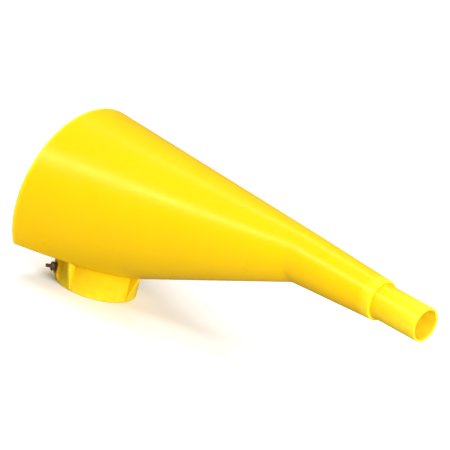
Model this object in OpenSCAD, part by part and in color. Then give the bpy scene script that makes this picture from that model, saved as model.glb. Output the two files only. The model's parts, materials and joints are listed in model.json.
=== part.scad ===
// Clamp-on pouring funnel for a round-necked fuel can.
// Origin: centre of the collar's lower rim. +Z runs up the collar, +X runs along the spout.
// The body is an oblique cone: its wide mouth and its narrow end are both square to the spout's
// axis, but the mouth sits lower, so the top line stays nearly level and the floor can be flat.

/* [Bowl] */
// Outside radius of the wide mouth
mouth_r = 65; // [55:0.5:75]
// Distance of the mouth behind the collar's axis
mouth_back = 37.3; // [37:0.1:45]
// Height of the mouth's centre above the collar's rim
mouth_z = 54.8; // [50:0.1:60]
// Wall thickness of the bowl and spout
wall = 2.2; // [1.6:0.1:3]
// Thickness of the flat floor
floor_t = 2.4; // [2:0.1:4]

/* [Spout] */
// Height of the spout's axis above the collar's rim
spout_z = 95.5; // [85:0.5:105]
// Distance from the collar's axis to the narrow end of the cone
cone_end_x = 166; // [140:1:190]
// Outside radius where the cone meets the spout
throat_r = 18.9; // [17:0.1:24]
// Distance from the collar's axis to the spout's shoulder
shoulder_x = 239.7; // [220:0.5:260]
// Outside radius of the spout at its shoulder
shoulder_r = 15; // [14.4:0.1:16.5]

/* [Outlet nozzle] */
// Outside radius of the outlet nozzle
nozzle_r = 12.7; // [10:0.1:13]
// Wall thickness of the outlet nozzle
nozzle_wall = 1.9; // [1.4:0.1:2.5]
// Distance from the collar's axis to the nozzle's tip
tip_x = 280; // [265:0.5:300]
// Depth that the nozzle is seated inside the spout
seat_depth = 12; // [8:0.5:20]
// Outside radius of the nozzle's seated end
seat_r = 13.2; // [12.9:0.05:13.3]
// Length of the small slope between the seated end and the straight tube
root_len = 0.8; // [0.4:0.1:2]

/* [Collar] */
// Radius of the collar's bore, which slides over the can's neck
bore_r = 26.3; // [26:0.05:26.6]
// Outside radius of the collar
collar_r = 29.4; // [29:0.1:31]
// Height of the collar from its rim to the floor's underside
collar_h = 22.2; // [20:0.1:26]
// How far each gusset reaches out along the floor
gusset_reach = 7.6; // [5:0.1:7.8]
// Thickness of each gusset
gusset_t = 2.6; // [2:0.1:4]
// Clear height left between the rim and the gusset's toe
gusset_toe = 0.8; // [0.4:0.1:3]

/* [Clamp screws] */
// Angle of each clamp screw from the spout's direction
screw_angle = 125; // [118:1:140]
// Height of the clamp screws above the rim
screw_z = 9.6; // [8:0.1:10]
// Radius of the screw's shank
shank_r = 3.1; // [2.5:0.05:3.2]
// Distance that a screw and its pad move in from the slack position
travel = 1.5875; // [1:0.0125:1.6]
// Radius of the rounded thumb tongue
tongue_r = 5; // [4:0.1:6]
// Thickness of the thumb tongue
tongue_t = 2.4; // [2:0.1:3]
// Distance from the collar's axis to the tongue's end when slack
tongue_end = 39; // [38:0.1:40]
// Angle in degrees of the slack screw's tongue from level
tongue_twist = 23; // [0:1:90]
// Width of the boss around each screw
boss_w = 12; // [12:0.1:14]
// Distance from the collar's axis to the boss's flat face
boss_face = 31.8; // [31.5:0.1:33]

/* [Hidden] */

$fn = 96;
eps = 0.01;
big = 400;

yellow = [0.96, 0.86, 0.02];
steel = [0.42, 0.39, 0.36];
brass = [0.80, 0.62, 0.28];
nylon = [0.90, 0.89, 0.84];

// Boss profile: its lowest point, half the height of its flat face, and its reach at the floor.
boss_toe = 1.4;
boss_flat = 4.6;
boss_reach = 7.1;

// The cone runs from the mouth at -mouth_back to its narrow end at cone_end_x.
cone_len = cone_end_x + mouth_back;
cone_slope = (throat_r - mouth_r) / cone_len;
cone_rise = (spout_z - mouth_z) / cone_len;
function cone_r(x) = mouth_r + cone_slope * (x + mouth_back);
function cone_z(x) = mouth_z + cone_rise * (x + mouth_back);

// Clamp parts, as distances out from the collar's axis with the screws slack.
pad_r = 4.9;
pad_t = 1.5;
pad_in = bore_r + 0.2;
pad_out = pad_in + pad_t;
recess_r = 5.2;
flange_in = pad_out + 0.1;
flange_t = 0.6;
insert_r = 4.5;
running_gap = 0.05;
tip_r = 1.6;
tip_len = 0.85;
hub_in = boss_face + travel + 0.25;
hub_r = 3.4;
hub_t = 1.3;
tongue_c = tongue_end - tongue_r;

// An oblique cone between two upright circles at x0 and x1, inset by t from the outer surface.
module oblique_cone(x0, x1, t) {
    multmatrix([
        [1, 0, 0, x0],
        [0, 1, 0, 0],
        [cone_rise, 0, 1, cone_z(x0)],
        [0, 0, 0, 1]
    ])
        rotate([0, 90, 0])
            cylinder(h = x1 - x0, r1 = cone_r(x0) - t, r2 = cone_r(x1) - t);
}

// Everything above a level.
module above(z) {
    translate([-big, -big, z]) cube([2 * big, 2 * big, big]);
}

// Turns a shape drawn along +X to a clamp screw's direction and lifts it to the screw's height.
module at_screw(side) {
    rotate([0, 0, side * screw_angle]) translate([0, 0, screw_z]) children();
}

// A round bar along +X from a to b.
module bar(a, b, r) {
    translate([a, 0, 0]) rotate([0, 90, 0]) cylinder(h = b - a, r = r);
}

// Wide eccentric cone with a flat floor, open at the mouth and through the floor.
module bowl_shell() {
    color(yellow)
    difference() {
        intersection() {
            oblique_cone(-mouth_back, cone_end_x, 0);
            above(collar_h);
        }
        intersection() {
            oblique_cone(-mouth_back - 1, cone_end_x + 1, wall);
            above(collar_h + floor_t);
        }
        translate([0, 0, collar_h - 1]) cylinder(h = floor_t + 2, r = bore_r);
    }
}

// Tapering tube from the cone to the shoulder, with a seat for the nozzle in its end.
module spout_tube() {
    seat_x = shoulder_x - seat_depth;
    taper = (shoulder_r - throat_r) / (shoulder_x - cone_end_x);
    seat_outer = throat_r + taper * (seat_x - cone_end_x);
    color(yellow)
    translate([0, 0, spout_z])
    rotate([0, 90, 0])
    rotate_extrude()
        polygon([
            [throat_r - wall, cone_end_x],
            [throat_r, cone_end_x],
            [shoulder_r, shoulder_x],
            [seat_r, shoulder_x],
            [seat_r, seat_x],
            [seat_outer - wall, seat_x]
        ]);
}

// Slim straight tube that pours. Its thicker end is seated inside the spout.
module outlet_nozzle() {
    seat_x = shoulder_x - seat_depth;
    inner_r = nozzle_r - nozzle_wall;
    color(yellow)
    translate([0, 0, spout_z])
    rotate([0, 90, 0])
    rotate_extrude()
        polygon([
            [inner_r, seat_x],
            [seat_r, seat_x],
            [seat_r, shoulder_x],
            [nozzle_r, shoulder_x + root_len],
            [nozzle_r, tip_x],
            [inner_r, tip_x]
        ]);
}

// Side profile of a screw boss: a flat face at the screw, then a slope out to the floor.
module boss_profile() {
    polygon([
        [bore_r + 1, boss_toe],
        [collar_r, boss_toe],
        [boss_face, screw_z - boss_flat],
        [boss_face, screw_z + boss_flat],
        [collar_r + boss_reach, collar_h],
        [bore_r + 1, collar_h]
    ]);
}

module screw_boss() {
    translate([0, boss_w / 2, 0]) rotate([90, 0, 0]) linear_extrude(boss_w) boss_profile();
}

// Round collar that slides over the can's neck, with a boss, recess and hole for each screw.
module neck_collar() {
    color(yellow)
    difference() {
        union() {
            cylinder(h = collar_h, r = collar_r);
            for (side = [-1, 1]) rotate([0, 0, side * screw_angle]) screw_boss();
        }
        translate([0, 0, -1]) cylinder(h = collar_h + 2, r = bore_r);
        for (side = [-1, 1]) at_screw(side) {
            bar(bore_r - 3, flange_in + flange_t, recess_r);
            bar(bore_r, boss_face + 3, insert_r);
        }
    }
}

// Four triangular ribs that brace the collar against the floor.
module collar_gussets() {
    color(yellow)
    difference() {
        for (turn = [0:90:270])
            rotate([0, 0, turn])
                translate([0, gusset_t / 2, 0])
                    rotate([90, 0, 0])
                        linear_extrude(gusset_t)
                            polygon([
                                [bore_r, gusset_toe],
                                [collar_r, gusset_toe],
                                [collar_r + gusset_reach, collar_h],
                                [bore_r, collar_h]
                            ]);
        translate([0, 0, -1]) cylinder(h = collar_h + 2, r = collar_r);
    }
}

// Thumb screw: a pin tip that turns in the pad, a shank, a hub and a flat rounded tongue.
module clamp_screw(side) {
    color(steel)
    at_screw(side) {
        bar(pad_out - tip_len, pad_out + running_gap + eps, tip_r);
        bar(pad_out + running_gap, hub_in + eps, shank_r);
        bar(hub_in, hub_in + hub_t, hub_r);
        rotate([tongue_twist, 0, 0]) intersection() {
            translate([tongue_c, 0, -tongue_t / 2]) cylinder(h = tongue_t, r = tongue_r);
            translate([hub_in + 0.3, -big / 2, -big / 2]) cube([big, big, big]);
        }
    }
}

// Threaded bush, flanged on the neck side so that the screw's thrust can't push it out.
module screw_insert(side) {
    color(brass)
    at_screw(side)
    difference() {
        union() {
            bar(flange_in, flange_in + flange_t, recess_r);
            bar(flange_in + flange_t - eps, boss_face, insert_r);
        }
        bar(flange_in - 1, boss_face + 1, shank_r + running_gap);
    }
}

// Round pad that presses on the can's neck, with a blind socket for the screw's tip.
module swivel_pad(side) {
    color(nylon)
    at_screw(side)
    difference() {
        bar(pad_in, pad_out, pad_r);
        bar(pad_out - tip_len - running_gap, pad_out + 1, tip_r + running_gap);
    }
}

bowl_shell();
spout_tube();
outlet_nozzle();
neck_collar();
collar_gussets();
clamp_screw(-1);  // clamp_screw_near
clamp_screw(1);  // clamp_screw_far
screw_insert(-1);  // screw_insert_near
screw_insert(1);  // screw_insert_far
swivel_pad(-1);  // swivel_pad_near
swivel_pad(1);  // swivel_pad_far
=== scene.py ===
# %% [markdown]
# # A clamp-on fuel funnel in Blender
#
# This lesson dresses a yellow polyethylene funnel. A wide mouth opens into an oblique cone with a
# flat floor, the cone runs into a long tapering spout, and a slimmer nozzle pours. Under the floor
# a round collar slides over a can's neck, where two thumb screws hold it.
#
# The engineering model already holds every size and every joint. It is loaded first as a fixed
# frame, and each piece made here goes exactly where the frame says.

import math

import bmesh
import bpy
import numpy as np
from mathutils import Matrix, Vector
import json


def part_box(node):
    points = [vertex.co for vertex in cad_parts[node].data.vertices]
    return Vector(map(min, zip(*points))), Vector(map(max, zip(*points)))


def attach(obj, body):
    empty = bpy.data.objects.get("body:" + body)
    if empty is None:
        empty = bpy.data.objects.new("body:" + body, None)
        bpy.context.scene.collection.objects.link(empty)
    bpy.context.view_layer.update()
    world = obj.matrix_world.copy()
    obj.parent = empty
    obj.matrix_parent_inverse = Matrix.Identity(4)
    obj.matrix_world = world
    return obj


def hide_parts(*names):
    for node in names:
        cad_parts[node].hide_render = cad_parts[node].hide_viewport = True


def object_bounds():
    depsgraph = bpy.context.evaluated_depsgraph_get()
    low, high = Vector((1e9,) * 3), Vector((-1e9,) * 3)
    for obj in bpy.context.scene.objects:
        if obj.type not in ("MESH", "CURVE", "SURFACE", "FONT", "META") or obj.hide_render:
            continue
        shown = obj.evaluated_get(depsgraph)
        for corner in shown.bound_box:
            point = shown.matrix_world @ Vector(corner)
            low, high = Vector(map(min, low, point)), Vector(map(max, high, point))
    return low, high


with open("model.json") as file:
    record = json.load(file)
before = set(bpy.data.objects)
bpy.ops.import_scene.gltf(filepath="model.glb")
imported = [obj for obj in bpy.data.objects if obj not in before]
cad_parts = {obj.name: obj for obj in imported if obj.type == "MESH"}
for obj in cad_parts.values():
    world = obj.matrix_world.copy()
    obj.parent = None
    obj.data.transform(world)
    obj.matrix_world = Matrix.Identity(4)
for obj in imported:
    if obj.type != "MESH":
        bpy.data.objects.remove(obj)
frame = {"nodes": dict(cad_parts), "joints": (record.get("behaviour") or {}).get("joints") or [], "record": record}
cad_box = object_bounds()
print("whole object, mm:", [round(1000 * (hi - lo), 1) for lo, hi in zip(*cad_box)])

# %% [markdown]
# ## The sizes that everything else follows
#
# A funnel is mostly one idea: circles of changing radius strung along a line. So the whole
# moulding can be drawn from a few numbers, and every one of them can be read off the frame's
# boxes instead of being typed in. The mouth is the widest thing, so the bowl's box gives its
# radius, and the highest point of the bowl is the top of the mouth.

# %% Read the driving sizes
MM = 0.001

bowl_lo, bowl_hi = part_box("bowl_shell")
spout_lo, spout_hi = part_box("spout_tube")
nozzle_lo, nozzle_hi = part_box("outlet_nozzle")
collar_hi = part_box("neck_collar")[1]
gusset_lo, gusset_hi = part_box("collar_gussets")

mouth_x = bowl_lo.x
mouth_r = (bowl_hi.y - bowl_lo.y) / 2
mouth_z = bowl_hi.z - mouth_r
floor_z = bowl_lo.z
crease_x = bowl_hi.x
throat_r = (spout_hi.y - spout_lo.y) / 2
spout_z = (spout_hi.z + spout_lo.z) / 2
shoulder_x = spout_hi.x
seat_r = (nozzle_hi.y - nozzle_lo.y) / 2
seat_x = nozzle_lo.x
tip_x = nozzle_hi.x
collar_r = collar_hi.x
print("mouth radius %.1f, throat radius %.1f mm" % (mouth_r / MM, throat_r / MM))

# %% [markdown]
# A few sizes are not the outside of any box. The collar's bore and the nozzle's outside are
# mounts of the frame, and the walls are those of a moulded funnel, about two millimetres.

# %% Sizes that no box shows
mounts = {m["name"]: m for m in frame["record"]["mounts"]}
bore_r = mounts["neck_bore"]["dims"]["r_mm"] * MM
nozzle_r = mounts["outlet_tube"]["dims"]["r_mm"] * MM
wall = 2.2 * MM
floor_t = 2.4 * MM
shoulder_r = 15.0 * MM
nozzle_wall = 1.9 * MM
root_len = 0.8 * MM
print("bore radius %.1f, nozzle radius %.1f mm" % (bore_r / MM, nozzle_r / MM))

# %% [markdown]
# ## A helper for meshes made of rings
#
# Nearly every piece here is a stack of rings with the same number of points: the moulding, the
# nozzle, the collar and the screw's thread. One helper turns such a stack into a clean
# mesh of quads. It can close the stack on itself, like a tyre, which is how a shell with an
# inside, an outside and a rounded lip is made as one skin with no open edge.

# %% Rings to mesh
def mesh_object(name, points, faces):
    """A new mesh object from points and faces, shaded smooth."""
    mesh = bpy.data.meshes.new(name)
    mesh.from_pydata([tuple(p) for p in points], [], faces)
    mesh.validate()
    mesh.update()
    mesh.shade_smooth()
    piece = bpy.data.objects.new(name, mesh)
    bpy.context.scene.collection.objects.link(piece)
    return piece


def ring_faces(rings, around, closed):
    """Quads between neighbouring rings; closed joins the last ring to the first."""
    faces = []
    for i in range(rings if closed else rings - 1):
        a = i * around
        b = ((i + 1) % rings) * around
        for j in range(around):
            k = (j + 1) % around
            faces.append((a + j, a + k, b + k, b + j))
    return faces


def outward(piece):
    """Turns every face of a closed mesh to point out."""
    shape = bmesh.new()
    shape.from_mesh(piece.data)
    bmesh.ops.recalc_face_normals(shape, faces=shape.faces)
    shape.to_mesh(piece.data)
    shape.free()
    piece.data.shade_smooth()


def revolve(name, profile, centre, axis="z", around=128, closed=True):
    """A turned piece: profile is a list of (radius, height) pairs, swept about an axis."""
    turns = np.linspace(0, 2 * math.pi, around, endpoint=False)
    points = []
    for radius, height in profile:
        for t in turns:
            u, v = radius * math.cos(t), radius * math.sin(t)
            offset = (u, v, height) if axis == "z" else (height, u, v)
            points.append(Vector(centre) + Vector(offset))
    piece = mesh_object(name, points, ring_faces(len(profile), around, closed))
    outward(piece)
    return piece


def crisp(piece, degrees=35):
    """Keeps edges sharper than an angle looking sharp on a smooth-shaded mesh."""
    piece.data.set_sharp_from_angle(angle=math.radians(degrees))

# %% [markdown]
# ## The moulding's outline
#
# At any place along the spout the cross-section is a circle. Both its radius and its height
# change in straight lines from the mouth to the crease where the cone ends, and again from the
# crease to the shoulder. A real mould never has a knife edge there, so the two straight lines are
# eased into each other over a few millimetres.

# %% Radius and height along the spout
EASE = 1.6 * MM


def eased(x, before, at, after):
    """A value that has one slope before the crease and another after it, blended at the crease."""
    t = x - crease_x
    soft = math.sqrt(t * t + EASE * EASE) - EASE
    return at + (before + after) / 2 * t + (after - before) / 2 * soft


cone_length = crease_x - mouth_x
cone_taper = (throat_r - mouth_r) / cone_length
cone_rise = (spout_z - mouth_z) / cone_length
spout_taper = (shoulder_r - throat_r) / (shoulder_x - crease_x)


def outer_radius(x):
    return eased(x, cone_taper, throat_r, spout_taper)


def centre_height(x):
    return eased(x, cone_rise, spout_z, 0.0)


for x in (mouth_x, 0.0, crease_x, shoulder_x):
    print("x %6.1f: radius %5.1f, centre %5.1f mm" % (
        x / MM, outer_radius(x) / MM, centre_height(x) / MM))

# %% [markdown]
# The floor cuts each circle with a flat line. A boolean could do that, but it would leave a sharp
# corner with nothing to catch the light. Here the circle and the line are merged as distances
# from the centre with a smooth minimum, which gives the soft corner of a moulded part for free.
# The ray angles are packed closely over the lower third, where that corner travels.

# %% Rounded section with a flat floor
CORNER = 1.8 * MM


def smooth_min(a, b, width):
    h = np.clip(0.5 + 0.5 * (b - a) / width, 0.0, 1.0)
    return b * (1 - h) + a * h - width * h * (1 - h)


def ray_angles(lower=260, upper=130):
    """Angles from +Y towards +Z: dense from -160 to -20 degrees, sparser over the top."""
    start, stop = math.radians(-160), math.radians(-20)
    dense = np.linspace(start, stop, lower, endpoint=False)
    sparse = np.linspace(stop, start + 2 * math.pi, upper, endpoint=False)
    return np.concatenate([dense, sparse])


RAYS = ray_angles()


def section(x, inset):
    """Points of the section at x, moved in from the outer surface by inset."""
    radius = outer_radius(x) - inset
    height = centre_height(x)
    floor = floor_z + inset * floor_t / wall
    reach = np.full(len(RAYS), radius)
    down = np.maximum(-np.sin(RAYS), 1e-6)
    to_floor = (height - floor) / down
    reach = np.where(np.sin(RAYS) < 0, smooth_min(reach, to_floor, CORNER), reach)
    y = reach * np.cos(RAYS)
    z = height + reach * np.sin(RAYS)
    return [Vector((x, a, b)) for a, b in zip(y, z)]


print("rays per section:", len(RAYS))

# %% [markdown]
# ## Sweeping the moulding
#
# The path goes out along the outer surface to the shoulder, over its rounded edge, into the seat
# that the nozzle sits in, back along the inner surface, and round the lip at the mouth. The lip is
# a true half circle, because a rolled or rounded lip is the one line of a funnel that always
# catches a highlight.

# %% Path of the moulding's skin
def spaced(a, b, step):
    return list(np.linspace(a, b, max(2, round(abs(b - a) / step) + 1)))


def moulding_path():
    """(x, inset) pairs all the way round the wall's section."""
    lip = wall / 2
    near_floor = mouth_x + 85 * MM
    around_crease = 8 * MM
    edge = 0.7 * MM
    seat_gap = 0.03 * MM
    out = spaced(mouth_x + lip, near_floor, 2.5 * MM)
    out += spaced(near_floor, crease_x - around_crease, 9 * MM)[1:]
    out += spaced(crease_x - around_crease, crease_x + around_crease, 1 * MM)[1:]
    out += spaced(crease_x + around_crease, shoulder_x - edge, 9 * MM)[1:]
    path = [(x, 0.0) for x in out]
    for t in np.linspace(0, math.pi / 2, 6)[1:]:
        path.append((shoulder_x - edge + edge * math.sin(t), edge * (1 - math.cos(t))))
    path.append((shoulder_x, outer_radius(shoulder_x) - seat_r - seat_gap))
    path.append((seat_x, outer_radius(seat_x) - seat_r - seat_gap))
    path.append((seat_x, wall))
    path += [(x, wall) for x in reversed(out) if x < seat_x - MM]
    for t in np.linspace(math.pi, 0, 11)[1:-1]:
        path.append((mouth_x + lip - lip * math.sin(t), lip - lip * math.cos(t)))
    return path


path = moulding_path()
points = [p for x, inset in path for p in section(x, inset)]
body_moulding = mesh_object("body_moulding", points, ring_faces(len(path), len(RAYS), True))
outward(body_moulding)
print("moulding: %d rings, %d faces" % (len(path), len(body_moulding.data.polygons)))

# %% [markdown]
# ## Opening the floor over the collar
#
# The can's neck comes up through a round hole in the floor. The hole is cut with a boolean whose
# cutter flares at the top, so the hole gets a small chamfer. Only flat floor is cut, so the smooth
# shading round the hole is not disturbed.

# %% Cut the neck hole
def cut(piece, cutter):
    """Takes the cutter away from the piece and removes the cutter."""
    step = piece.modifiers.new("cut", "BOOLEAN")
    step.operation = "DIFFERENCE"
    step.solver = "EXACT"
    step.object = cutter
    apply_modifiers(piece)
    bpy.data.objects.remove(cutter)


def apply_modifiers(piece):
    """Replaces the mesh with what its modifiers make of it."""
    graph = bpy.context.evaluated_depsgraph_get()
    made = bpy.data.meshes.new_from_object(piece.evaluated_get(graph))
    piece.modifiers.clear()
    piece.data = made


def plug(name, profile, centre, axis="z", around=128):
    """A solid turned plug: the profile starts and ends on the axis."""
    piece = revolve(name, profile, centre, axis, around, closed=False)
    shape = bmesh.new()
    shape.from_mesh(piece.data)
    bmesh.ops.remove_doubles(shape, verts=shape.verts, dist=1e-7)
    bmesh.ops.recalc_face_normals(shape, faces=shape.faces)
    shape.to_mesh(piece.data)
    shape.free()
    return piece


chamfer = 0.5 * MM
floor_top = floor_z + floor_t
hole = plug("hole", [
    (0, floor_z - 3 * MM),
    (bore_r, floor_z - 3 * MM),
    (bore_r, floor_top - chamfer),
    (bore_r + chamfer, floor_top),
    (bore_r + chamfer, floor_top + 2 * MM),
    (0, floor_top + 2 * MM),
], (0, 0, 0))
cut(body_moulding, hole)
crisp(body_moulding, 40)
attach(body_moulding, "root")
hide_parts("bowl_shell", "spout_tube")
print("moulding with its hole: %d faces" % len(body_moulding.data.polygons))

# %% [markdown]
# ## The outlet nozzle
#
# A straight tube, slimmer than the spout, so it drops into a one-inch filler and the shoulder
# stops it there. A small fillet leads out of the shoulder, as in any moulded step, and the free
# end is rounded on both sides.

# %% Turn the nozzle
def nozzle_profile(edge=0.8 * MM, steps=6):
    """(radius, x) pairs: the seat, the fillet, the straight tube and its rounded end."""
    inner = nozzle_r - nozzle_wall
    quarter = np.linspace(0, math.pi / 2, steps)
    profile = [(inner, seat_x), (seat_r, seat_x), (seat_r, shoulder_x)]
    for t in quarter:
        profile.append((
            nozzle_r + (seat_r - nozzle_r) * (1 - math.sin(t)),
            shoulder_x + root_len * (1 - math.cos(t))))
    for t in quarter:
        profile.append((nozzle_r - edge * (1 - math.cos(t)), tip_x - edge * (1 - math.sin(t))))
    for t in quarter[::-1]:
        profile.append((inner + edge * (1 - math.cos(t)), tip_x - edge * (1 - math.sin(t))))
    return profile


nozzle = revolve("nozzle", nozzle_profile(), (0, 0, spout_z), axis="x", around=144)
crisp(nozzle)
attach(nozzle, "root")
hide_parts("outlet_nozzle")
print("nozzle: %.1f mm long past the shoulder" % ((tip_x - shoulder_x) / MM))

# %% [markdown]
# ## The clamp screws' directions
#
# Each screw points straight at the collar's axis. The frame's hinges already hold a point on each
# screw's axis and its direction, so the two sides need no numbers of their own. A small matrix
# turns a piece drawn along +X to lie along either screw.

# %% Places for the two clamps
joints = {j["name"]: j for j in frame["joints"]}
SIDES = ("near", "far")


def clamp_matrix(side):
    """Takes local +X to the outward direction of a screw, and the origin to the collar's axis."""
    hinge = joints["screw_turn_" + side]
    out = -Vector(hinge["axis"]).normalized()
    turn = math.atan2(out.y, out.x)
    return Matrix.Translation((0, 0, hinge["pos_m"][2])) @ Matrix.Rotation(turn, 4, "Z")


CLAMPS = {side: clamp_matrix(side) for side in SIDES}


def local_span(node, side):
    """How far a CAD node reaches along its screw's axis, from and to, in metres."""
    back = CLAMPS[side].inverted()
    along = [(back @ v.co).x for v in frame["nodes"][node].data.vertices]
    return min(along), max(along)


screw_from, screw_to = local_span("clamp_screw_near", "near")
insert_from, boss_face = local_span("screw_insert_near", "near")
pad_to = local_span("swivel_pad_near", "near")[1]
print("screw from %.1f to %.1f, boss face at %.1f mm from the axis" % (
    screw_from / MM, screw_to / MM, boss_face / MM))

# %% [markdown]
# ## The neck collar
#
# A short thick ring with a cove where it runs into the floor. The cove is what a mould needs so
# that the plastic flows and the corner doesn't crack. Beside each screw the wall swells into a
# boss with a flat face. The ring is turned, each boss is a bevelled prism, and the two are joined
# with a boolean, because the bosses change the outline only locally.

# %% Turn the collar's ring
def collar_profile(edge=0.7 * MM, cove=1.5 * MM):
    """(radius, z) pairs: rounded rim, straight wall, cove into the floor, straight bore."""
    sink = 0.3 * MM
    quarter = np.linspace(0, math.pi / 2, 6)
    profile = [(bore_r + edge * (1 - math.cos(t)), edge * (1 - math.sin(t))) for t in quarter]
    profile += [
        (collar_r - edge * (1 - math.sin(t)), edge * (1 - math.cos(t))) for t in quarter]
    profile += [
        (collar_r + cove * (1 - math.cos(t)), floor_z - cove * (1 - math.sin(t)))
        for t in quarter]
    profile += [(collar_r + cove, floor_z + sink), (bore_r, floor_z + sink)]
    return profile


collar = revolve("collar", collar_profile(), (0, 0, 0), around=160)
print("collar ring: %d faces" % len(collar.data.polygons))

# %% [markdown]
# A prism helper serves the bosses, the gussets and the screws' tongues: an outline in one plane,
# given a thickness, with every edge bevelled. The bevel is what separates a moulded rib from a
# drawing of one, because its narrow rounded edges pick up a bright line.

# %% Bevelled prisms
def prism(name, outline, thickness, bevel, place=Matrix.Identity(4), segments=3):
    """An outline of (x, z) points, given a thickness along Y, bevelled and put in place."""
    half = thickness / 2
    shape = bmesh.new()
    corners = [shape.verts.new((x, -half, z)) for x, z in outline]
    face = shape.faces.new(corners)
    grown = bmesh.ops.extrude_face_region(shape, geom=[face])
    moved = [v for v in grown["geom"] if isinstance(v, bmesh.types.BMVert)]
    bmesh.ops.translate(shape, verts=moved, vec=(0, thickness, 0))
    bmesh.ops.recalc_face_normals(shape, faces=shape.faces)
    bmesh.ops.bevel(
        shape, geom=list(shape.edges), offset=bevel, offset_type="OFFSET",
        segments=segments, profile=0.5, affect="EDGES", clamp_overlap=True)
    shape.transform(place)
    mesh = bpy.data.meshes.new(name)
    shape.to_mesh(mesh)
    shape.free()
    mesh.shade_smooth()
    piece = bpy.data.objects.new(name, mesh)
    bpy.context.scene.collection.objects.link(piece)
    return piece


def add_to(piece, other):
    """Joins another solid to the piece with a boolean, and removes the other."""
    step = piece.modifiers.new("join", "BOOLEAN")
    step.operation = "UNION"
    step.solver = "EXACT"
    step.object = other
    apply_modifiers(piece)
    bpy.data.objects.remove(other)

# %% [markdown]
# Seen from the side a boss is a pad with a flat face for the screw's head, which leans out above
# it to meet the floor. That slope lets the mould open downwards.

# %% Add the screw bosses
BOSS_WIDTH = 12 * MM
BOSS_TOE = 1.4 * MM
BOSS_FLAT = 4.6 * MM
BOSS_REACH = 7.1 * MM
screw_z = joints["screw_turn_near"]["pos_m"][2]


def boss_outline():
    inside = bore_r + 1 * MM
    top = floor_z + 0.25 * MM
    return [
        (inside, BOSS_TOE),
        (collar_r, BOSS_TOE),
        (boss_face, screw_z - BOSS_FLAT),
        (boss_face, screw_z + BOSS_FLAT),
        (collar_r + BOSS_REACH, floor_z - 0.1 * MM),
        (collar_r + BOSS_REACH, top),
        (inside, top),
    ]


for side in SIDES:
    level = Matrix.Translation((0, 0, -screw_z))
    boss = prism("boss", boss_outline(), BOSS_WIDTH, 0.6 * MM, CLAMPS[side] @ level)
    add_to(collar, boss)
print("collar with bosses: %d faces" % len(collar.data.polygons))

# %% [markdown]
# The bore is cut again after the bosses are on, and each screw gets its way through the wall: a
# wide recess on the inside, where the pad hides when the screw is slack, and a hole for the bush.

# %% Cut the bore and the screws' ways through
RECESS_R = 5.2 * MM
INSERT_R = 4.5 * MM
recess_end = insert_from + 0.6 * MM

cut(collar, plug("bore", [
    (0, -2 * MM), (bore_r, -2 * MM), (bore_r, floor_z + 2 * MM), (0, floor_z + 2 * MM),
], (0, 0, 0), around=160))
for side in SIDES:
    way = plug("way", [
        (0, bore_r - 3 * MM),
        (RECESS_R, bore_r - 3 * MM),
        (RECESS_R, recess_end),
        (INSERT_R, recess_end),
        (INSERT_R, boss_face + 3 * MM),
        (0, boss_face + 3 * MM),
    ], (0, 0, 0), axis="x", around=64)
    way.data.transform(CLAMPS[side])
    cut(collar, way)
crisp(collar, 40)
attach(collar, "root")
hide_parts("neck_collar")
print("finished collar: %d faces" % len(collar.data.polygons))

# %% [markdown]
# ## Four gussets
#
# Thin triangular ribs brace the collar against the floor. They are thickest where they meet the
# floor, sunk a little into the collar and the floor so that no light shows through the joint, and
# their edges are rounded like the rest of the moulding.

# %% Make the gussets
GUSSET_T = 2.6 * MM
GUSSET_TOE = gusset_lo.z
gusset_reach = gusset_hi.x - collar_r


def gusset_outline():
    inside = collar_r - 1.2 * MM
    top = floor_z + 0.7 * MM
    return [
        (inside, GUSSET_TOE),
        (collar_r + 0.2 * MM, GUSSET_TOE),
        (collar_r + gusset_reach, floor_z - 0.2 * MM),
        (collar_r + gusset_reach, top),
        (inside, top),
    ]


gussets = None
for turn in (0, 90, 180, 270):
    place = Matrix.Rotation(math.radians(turn), 4, "Z")
    rib = prism("gussets", gusset_outline(), GUSSET_T, 0.45 * MM, place)
    if gussets is None:
        gussets = rib
    else:
        add_to(gussets, rib)
gussets.name = "gussets"
crisp(gussets, 50)
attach(gussets, "root")
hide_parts("collar_gussets")
print("gussets reach %.1f mm from the collar" % (gusset_reach / MM))

# %% [markdown]
# ## Thumb screws
#
# A quarter-inch screw with a flat rounded tongue to grip. The thread is a tube whose radius rises
# and falls with a helix, so it is a real thread and not a stack of rings: the phase advances by
# one pitch per turn. Both screws have the same right-hand thread, so the far one is the near one
# turned round, never its mirror image.

# %% Cut the thread
PITCH = 1.27 * MM
SHANK_R = 3.08 * MM
THREAD_DEPTH = 0.55 * MM
TIP_R = 1.6 * MM


def thread_radius(x, turn):
    """Radius of a helical thread: a rounded triangle wave along the axis."""
    phase = (x / PITCH - turn / (2 * math.pi)) % 1.0
    wave = abs(2 * phase - 1)
    return SHANK_R - THREAD_DEPTH * (1 - min(1.0, 1.25 * wave))


def threaded_shank(name, a, b, around=48, per_pitch=12):
    """A shank along +X from a to b, its ends closed and the end at a lightly chamfered."""
    count = int((b - a) / PITCH * per_pitch) + 1
    stations = np.linspace(a, b, count)
    points, turns = [], np.linspace(0, 2 * math.pi, around, endpoint=False)
    for x in stations:
        chamfer_r = SHANK_R - THREAD_DEPTH + max(0.0, min(x - a, PITCH / 2)) * 1.2
        for t in turns:
            radius = min(thread_radius(x, t), chamfer_r)
            points.append((x, radius * math.cos(t), radius * math.sin(t)))
    faces = ring_faces(count, around, False)
    faces.append(tuple(range(around))[::-1])
    faces.append(tuple(range((count - 1) * around, count * around)))
    piece = mesh_object(name, points, faces)
    outward(piece)
    return piece

# %% [markdown]
# The head is a short round hub that carries a flat tongue. The tongue, the threaded shank and the
# pin tip are joined to the hub in turn. The hub stands off the boss by the pad's whole stroke and
# a little more, so that it never touches the plastic. A slack screw rests at no particular turn,
# so its tongue is drawn somewhat off level.

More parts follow.
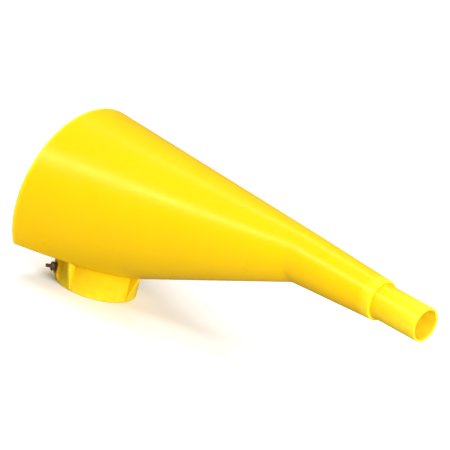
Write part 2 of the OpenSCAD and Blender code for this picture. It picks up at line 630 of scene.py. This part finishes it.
# %% Assemble a thumb screw
HUB_R = 3.4 * MM
HUB_T = 1.3 * MM
TONGUE_R = 5.0 * MM
TONGUE_T = 2.4 * MM
TONGUE_TWIST = math.radians(23)
STAND_OFF = 0.25 * MM
stroke = joints["pad_slide_near"]["range_m"][1]
hub_from = boss_face + stroke + STAND_OFF


def tongue_outline(steps=28):
    """A half disc on a short square root, in the plane of the screw's axis."""
    centre = screw_to - TONGUE_R
    points = []
    for t in np.linspace(-math.pi / 2, math.pi / 2, steps):
        points.append((centre + TONGUE_R * math.cos(t), TONGUE_R * math.sin(t)))
    root = hub_from + 0.3 * MM
    points.append((root, TONGUE_R * 0.985))
    points.append((root, -TONGUE_R * 0.985))
    return points


def thumb_screw(name):
    hub_edge = 0.35 * MM
    hub = plug(name, [
        (0, hub_from),
        (HUB_R - hub_edge, hub_from),
        (HUB_R, hub_from + hub_edge),
        (HUB_R, hub_from + HUB_T - hub_edge),
        (HUB_R - hub_edge, hub_from + HUB_T),
        (0, hub_from + HUB_T),
    ], (0, 0, 0), axis="x", around=48)
    flat = Matrix.Rotation(math.pi / 2 + TONGUE_TWIST, 4, "X")
    add_to(hub, prism("tongue", tongue_outline(), TONGUE_T, 0.5 * MM, flat))
    add_to(hub, threaded_shank("shank", pad_to + 0.05 * MM, hub_from + 0.2 * MM))
    add_to(hub, plug("tip", [
        (0, screw_from), (TIP_R, screw_from), (TIP_R, pad_to + 0.3 * MM), (0, pad_to + 0.3 * MM),
    ], (0, 0, 0), axis="x", around=32))
    crisp(hub, 32)
    return hub


for side in SIDES:
    screw = thumb_screw("thumb_screw_" + side)
    screw.data.transform(CLAMPS[side])
    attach(screw, "screw_" + side)
    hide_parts("clamp_screw_" + side)
    print(screw.name, "has", len(screw.data.polygons), "faces")

# %% [markdown]
# ## Yellow polyethylene
#
# Moulded polyethylene is waxy: a soft broad gloss, a little light inside the wall, a surface that
# is never quite flat, and brighter, rubbed edges at the mouth, the tip, the rim and the gussets.
# One material does every moulded piece. The colour drifts slightly with slow noise, fine noise
# gives the skin its orange-peel bump, and an attribute on the meshes says where edges are rubbed.
#
# The specular tint is a choice for the picture, not a property of the plastic. It keeps the
# reflections yellow, where white ones would wash the colour out.

# %% Mark the rubbed edges
RUB_START = 1.6


def rub_attribute(piece, distance_to_edge, width):
    """Stores 1 on an edge that gets knocked and near it, fading to 0 at a distance of width.

    The fade starts above 1 and is cut off there, which leaves a full band beside the edge.
    """
    mesh = piece.data
    layer = mesh.attributes.new("rub", "FLOAT", "POINT")
    fade = [RUB_START * (1 - distance_to_edge(v.co) / width) for v in mesh.vertices]
    values = [min(1.0, max(0.0, f)) for f in fade]
    layer.data.foreach_set("value", values)


def gusset_edge_distance(p):
    """How far inside a gusset's sloping outer edge a point lies."""
    rise = (p.z - GUSSET_TOE) / (floor_z - GUSSET_TOE)
    return collar_r + gusset_reach * rise - math.hypot(p.x, p.y)


rub_attribute(body_moulding, lambda p: min(p.x - mouth_x, shoulder_x - p.x), 3 * MM)
rub_attribute(nozzle, lambda p: tip_x - p.x, 3 * MM)
rub_attribute(collar, lambda p: p.z, 2 * MM)
rub_attribute(gussets, gusset_edge_distance, 1.2 * MM)

# %% A small kit for node materials
def new_material(name):
    material = bpy.data.materials.new(name)
    material.use_nodes = True
    tree = material.node_tree
    shader = tree.nodes["Principled BSDF"]
    return material, tree, shader


def noise(tree, coords, scale, detail=3.0, roughness=0.5):
    node = tree.nodes.new("ShaderNodeTexNoise")
    node.inputs["Scale"].default_value = scale
    node.inputs["Detail"].default_value = detail
    node.inputs["Roughness"].default_value = roughness
    tree.links.new(coords, node.inputs["Vector"])
    return node.outputs["Fac"]


def remap(tree, value, from_lo, from_hi, to_lo, to_hi):
    node = tree.nodes.new("ShaderNodeMapRange")
    node.inputs["From Min"].default_value = from_lo
    node.inputs["From Max"].default_value = from_hi
    node.inputs["To Min"].default_value = to_lo
    node.inputs["To Max"].default_value = to_hi
    tree.links.new(value, node.inputs["Value"])
    return node.outputs["Result"]


def mix_colour(tree, factor, a, b):
    node = tree.nodes.new("ShaderNodeMix")
    node.data_type = "RGBA"
    tree.links.new(factor, node.inputs["Factor"])
    for socket, value in ((node.inputs[6], a), (node.inputs[7], b)):
        if isinstance(value, tuple):
            socket.default_value = (*value, 1.0)
        else:
            tree.links.new(value, socket)
    return node.outputs[2]


def bump(tree, height, distance, strength, below=None):
    node = tree.nodes.new("ShaderNodeBump")
    node.inputs["Distance"].default_value = distance
    node.inputs["Strength"].default_value = strength
    tree.links.new(height, node.inputs["Height"])
    if below is not None:
        tree.links.new(below, node.inputs["Normal"])
    return node.outputs["Normal"]


def object_coords(tree):
    return tree.nodes.new("ShaderNodeTexCoord").outputs["Object"]

# %% Mix the polyethylene
def polyethylene():
    material, tree, shader = new_material("yellow_polyethylene")
    coords = object_coords(tree)
    drift = remap(tree, noise(tree, coords, 14, 2.0), 0.35, 0.65, 0.0, 1.0)
    base = mix_colour(tree, drift, (0.87, 0.525, 0.0), (0.89, 0.545, 0.0))
    rub = tree.nodes.new("ShaderNodeAttribute")
    rub.attribute_name = "rub"
    patchy = tree.nodes.new("ShaderNodeMath")
    patchy.operation = "MULTIPLY"
    tree.links.new(rub.outputs["Fac"], patchy.inputs[0])
    tree.links.new(remap(tree, noise(tree, coords, 160, 4.0), 0.4, 0.7, 0.45, 0.9),
                   patchy.inputs[1])
    colour = mix_colour(tree, patchy.outputs["Value"], base, (0.96, 0.78, 0.03))
    tree.links.new(colour, shader.inputs["Base Color"])
    gloss = remap(tree, noise(tree, coords, 70, 3.0), 0.3, 0.7, 0.27, 0.35)
    tree.links.new(gloss, shader.inputs["Roughness"])
    slow = bump(tree, noise(tree, coords, 32, 1.0), 0.0004, 0.15)
    peel = bump(tree, noise(tree, coords, 900, 2.0), 0.00006, 0.35, slow)
    tree.links.new(peel, shader.inputs["Normal"])
    shader.inputs["IOR"].default_value = 1.5
    shader.inputs["Specular Tint"].default_value = (1.0, 0.65, 0.33, 1.0)
    shader.inputs["Subsurface Weight"].default_value = 0.12
    shader.inputs["Subsurface Radius"].default_value = (1.0, 0.55, 0.05)
    shader.inputs["Subsurface Scale"].default_value = 0.004
    return material


plastic = polyethylene()
for piece in (body_moulding, nozzle, collar, gussets):
    piece.data.materials.clear()
    piece.data.materials.append(plastic)
print("material:", plastic.name)

# %% [markdown]
# ## Metal and nylon
#
# The screws are dull plated steel with fine turning marks, the bushes are turned brass, and the
# pads are natural nylon. A fine noise in the bump reads as tool marks, and a
# broader noise in the roughness stops the metal from looking like a mirror.

# %% Mix the metals and the nylon
def turned_metal(name, dark, light, rough_lo, rough_hi, metallic):
    material, tree, shader = new_material(name)
    coords = object_coords(tree)
    tone = remap(tree, noise(tree, coords, 260, 4.0), 0.35, 0.65, 0.0, 1.0)
    tree.links.new(mix_colour(tree, tone, dark, light), shader.inputs["Base Color"])
    rough = remap(tree, noise(tree, coords, 700, 3.0), 0.3, 0.7, rough_lo, rough_hi)
    tree.links.new(rough, shader.inputs["Roughness"])
    marks = bump(tree, noise(tree, coords, 2600, 2.0), 0.00003, 0.5)
    tree.links.new(marks, shader.inputs["Normal"])
    shader.inputs["Metallic"].default_value = metallic
    return material


def nylon():
    material, tree, shader = new_material("natural_nylon")
    coords = object_coords(tree)
    tone = remap(tree, noise(tree, coords, 200, 3.0), 0.3, 0.7, 0.0, 1.0)
    tree.links.new(mix_colour(tree, tone, (0.74, 0.72, 0.62), (0.82, 0.80, 0.72)),
                   shader.inputs["Base Color"])
    rough = remap(tree, noise(tree, coords, 500, 3.0), 0.3, 0.7, 0.4, 0.55)
    tree.links.new(rough, shader.inputs["Roughness"])
    tree.links.new(bump(tree, noise(tree, coords, 1500, 2.0), 0.00004, 0.5),
                   shader.inputs["Normal"])
    shader.inputs["Subsurface Weight"].default_value = 0.2
    shader.inputs["Subsurface Scale"].default_value = 0.002
    return material


def finish_with(piece, material):
    piece.data.materials.clear()
    piece.data.materials.append(material)


steel = turned_metal("plated_steel", (0.13, 0.08, 0.05), (0.24, 0.16, 0.10), 0.3, 0.45, 0.4)
brass = turned_metal("turned_brass", (0.62, 0.42, 0.16), (0.76, 0.54, 0.24), 0.22, 0.36, 0.7)
white_nylon = nylon()
for side in SIDES:
    finish_with(bpy.data.objects["thumb_screw_" + side], steel)
    finish_with(frame["nodes"]["screw_insert_" + side], brass)
    finish_with(frame["nodes"]["swivel_pad_" + side], white_nylon)
print("materials:", [m.name for m in bpy.data.materials])

# %% [markdown]
# ## Floor, light and camera
#
# A pale floor and a bright even room make a catalogue picture. The floor is a single large
# sheet at the collar's rim. The room is a plain white world. A soft box overhead gives the top its
# brightest yellow, one from the right lights the near side and leaves the collar's left in shade,
# and one behind lifts the upper edge. These three don't show in reflections. Two narrow strips
# do: one draws the highlight that runs down the cone, the other the second line on the spout.
#
# Two liberties are taken with physics. The floor looks whiter to the lens than it lights the
# funnel, and the room is weaker in reflections than it is as a light. Both keep the yellow deep.

# %% Lay the floor
def floor_material(seen, bounced):
    """Paper that the lens sees brighter than it lights the funnel's underside."""
    material, tree, shader = new_material("pale_floor")
    path_kind = tree.nodes.new("ShaderNodeLightPath")
    tone = mix_colour(tree, path_kind.outputs["Is Camera Ray"], (bounced,) * 3, (seen,) * 3)
    tree.links.new(tone, shader.inputs["Base Color"])
    fibres = noise(tree, object_coords(tree), 900, 2.0)
    tree.links.new(bump(tree, fibres, 0.0001, 0.2), shader.inputs["Normal"])
    shader.inputs["Roughness"].default_value = 0.9
    return material


FLOOR_HALF = 12.0
bpy.ops.mesh.primitive_plane_add(size=2 * FLOOR_HALF, location=(0, 0, cad_box[0].z))
ground = bpy.context.object
ground.name = "ground"
finish_with(ground, floor_material(seen=0.92, bounced=0.5))
ground.visible_glossy = False
print("floor at z = %.1f mm" % (cad_box[0].z / MM))

# %% Light the room
def soft_box(name, direction, distance, width, depth, watts, reflected=True):
    """A rectangular lamp that faces the funnel's middle, its width level with the spout."""
    lamp = bpy.data.lights.new(name, "AREA")
    lamp.shape = "RECTANGLE"
    lamp.size = width
    lamp.size_y = depth
    lamp.energy = watts
    box = bpy.data.objects.new(name, lamp)
    bpy.context.scene.collection.objects.link(box)
    away = Vector(direction).normalized()
    across = (Vector((1, 0, 0)) - away * away.x).normalized()
    up = away.cross(across)
    turned = Matrix((across, up, away)).transposed().to_4x4()
    box.matrix_world = Matrix.Translation(middle + away * distance) @ turned
    box.visible_glossy = reflected
    return box


ROOM_LIGHT = 0.48
ROOM_REFLECTED = 0.10
world = bpy.data.worlds.new("white_room")
world.use_nodes = True
room = world.node_tree
room.nodes["Background"].inputs["Color"].default_value = (1, 1, 1, 1)
room_path = room.nodes.new("ShaderNodeLightPath")
room_strength = remap(room, room_path.outputs["Is Glossy Ray"], 0, 1, ROOM_LIGHT, ROOM_REFLECTED)
room.links.new(room_strength, room.nodes["Background"].inputs["Strength"])
world.cycles.sampling_method = "NONE"
bpy.context.scene.world = world

middle = Vector((0.10, 0.0, 0.09))
soft_box(
    "overhead", (-0.12, -0.06, 1.0), distance=1.9, width=1.6, depth=1.3, watts=18.5, reflected=False)
soft_box(
    "front_right", (0.93, -0.36, 0.30), distance=1.7, width=1.1, depth=0.55, watts=31,
    reflected=False)
soft_box(
    "behind", (-0.05, 0.80, 0.60), distance=1.9, width=1.5, depth=0.8, watts=12, reflected=False)
soft_box("strip", (-0.39, -0.675, 0.63), distance=1.6, width=1.2, depth=0.06, watts=10.5)
soft_box("spout_strip", (-0.43, 0.307, 0.849), distance=1.55, width=0.32, depth=0.12, watts=1.1)

# %% [markdown]
# The camera stands far off with a long lens, which keeps the two ends of the funnel in true
# proportion. It looks down from the front right and leans sideways, so that the spout runs
# down across the picture.

# %% Set the camera
AZIMUTH = math.radians(36.26)
ELEVATION = math.radians(19.41)
LEAN = math.radians(15.26)
DISTANCE = 5.528
aim_at = Vector((0.0949, 0.0, 0.0885))

camera_data = bpy.data.cameras.new("camera")
camera_data.sensor_width = 36
camera_data.lens = 640
camera_data.clip_start = 0.1
camera_data.clip_end = 50
camera = bpy.data.objects.new("camera", camera_data)
bpy.context.scene.collection.objects.link(camera)
back = Vector((
    math.sin(AZIMUTH) * math.cos(ELEVATION),
    -math.cos(AZIMUTH) * math.cos(ELEVATION),
    math.sin(ELEVATION)))
upright = (-back).to_track_quat("-Z", "Y")
camera.rotation_mode = "QUATERNION"
camera.rotation_quaternion = upright @ Matrix.Rotation(LEAN, 4, "Z").to_quaternion()
camera.location = aim_at + back * DISTANCE
bpy.context.scene.camera = camera
bpy.context.scene.view_settings.view_transform = "Standard"
print("camera at", [round(c, 3) for c in camera.location])

# %% [markdown]
# ## Finish
#
# The dressed model has to stay the engineering model's size.

# %% Finish
import json
